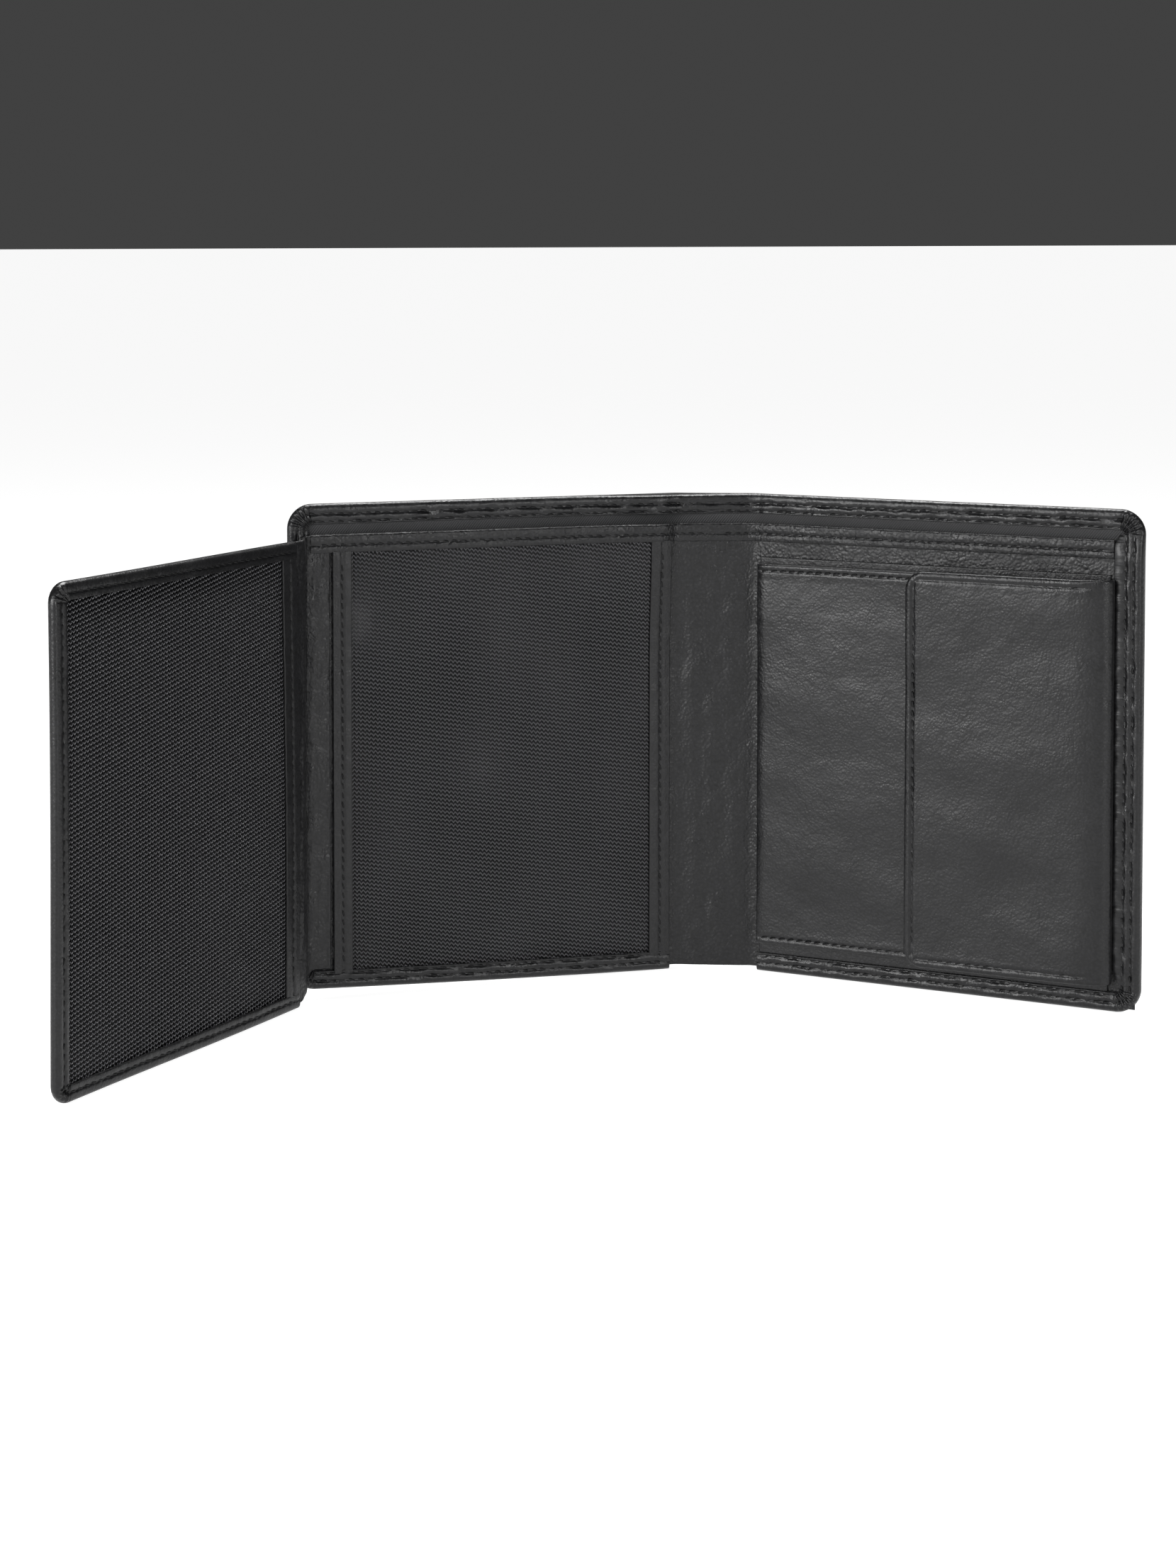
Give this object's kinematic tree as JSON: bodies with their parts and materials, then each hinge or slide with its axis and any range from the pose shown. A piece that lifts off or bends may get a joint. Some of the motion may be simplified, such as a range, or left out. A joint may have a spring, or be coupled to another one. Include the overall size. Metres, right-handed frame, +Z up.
{
  "type": "trifold wallet",
  "caption": "Black leather trifold wallet standing half open, with a swing-out wing, two mesh windows, a banknote compartment and a flapped coin pouch.",
  "frame": {"origin": "on the surface it stands on, under the middle of the bounding box of the open wallet", "axes": "+Z up along the folds, +Y out of the left cover's outer face, +X along the left cover from its free edge towards the spine"},
  "size_m": [0.2568, 0.0746, 0.12],
  "materials": {
    "cover_leather": "smooth black nappa leather with a fine pebble and a soft sheen",
    "inner_leather": "softer black leather, slightly more matt and creased",
    "lining": "black woven polyester lining, faint satin sheen",
    "mesh": "black nylon mesh of round shiny threads",
    "board": "plain bonded board",
    "thread": "black bonded nylon sewing thread",
    "stud": "nickel-plated press stud"
  },
  "bodies": {
    "left_panel": {"left_cover": "cover_leather", "left_stiffener": "board", "left_lining": "lining", "left_top_hem": "cover_leather", "left_side_hem": "cover_leather", "left_bottom_hem": "cover_leather", "left_divider": "inner_leather", "left_binding": "inner_leather", "id_mesh": "mesh", "id_outer_strip": "inner_leather", "id_inner_strip": "inner_leather", "band_root": "inner_leather", "left_threads": "thread"},
    "spine": {"spine_cover": "cover_leather", "spine_lining": "lining", "spine_top_hem": "cover_leather", "spine_divider": "inner_leather", "spine_binding": "inner_leather", "spine_threads": "thread"},
    "right_panel": {"right_cover": "cover_leather", "right_stiffener": "board", "right_lining": "lining", "right_top_hem": "cover_leather", "right_side_hem": "cover_leather", "right_bottom_hem": "cover_leather", "right_divider": "inner_leather", "right_binding": "inner_leather", "slip_pocket": "inner_leather", "pouch_back": "inner_leather", "pouch_gusset": "inner_leather", "pouch_facing": "lining", "pouch_front": "inner_leather", "stud_post": "stud", "flap_root": "inner_leather", "right_threads": "thread"},
    "coin_flap": {"flap_leather": "cover_leather", "flap_lining": "lining", "stud_socket": "stud", "flap_threads": "thread"},
    "wing": {"wing_border": "cover_leather", "wing_mesh": "mesh", "wing_strip": "inner_leather", "wing_board": "board", "wing_back": "cover_leather", "wing_band": "inner_leather", "card_slot_back": "inner_leather", "card_slot_middle": "inner_leather", "card_slot_front": "inner_leather", "wing_threads": "thread"}
  },
  "joints": [
    {"name": "left_fold", "type": "hinge", "parent": "left_panel", "child": "spine", "pos_m": [0.03501, 0.03677, 0.06], "axis": [0, 0, -1], "range_deg": [-20.5, 69.5]},
    {"name": "right_fold", "type": "hinge", "parent": "spine", "child": "right_panel", "pos_m": [0.05374, 0.02977, 0.06], "axis": [0, 0, -1], "range_deg": [-20.5, 69.5]},
    {"name": "wing_fold", "type": "hinge", "parent": "left_panel", "child": "wing", "pos_m": [-0.06049, 0.03107, 0.06], "axis": [0, 0, 1], "range_deg": [-42.7, 137.3]},
    {"name": "flap_fold", "type": "hinge", "parent": "right_panel", "child": "coin_flap", "pos_m": [0.11868, -0.03424, 0.055], "axis": [0, 0, 1], "range_deg": [0, 175]}
  ],
  "couplings": [
    {"joint": "right_fold", "follows": "left_fold", "ratio": 1}
  ]
}
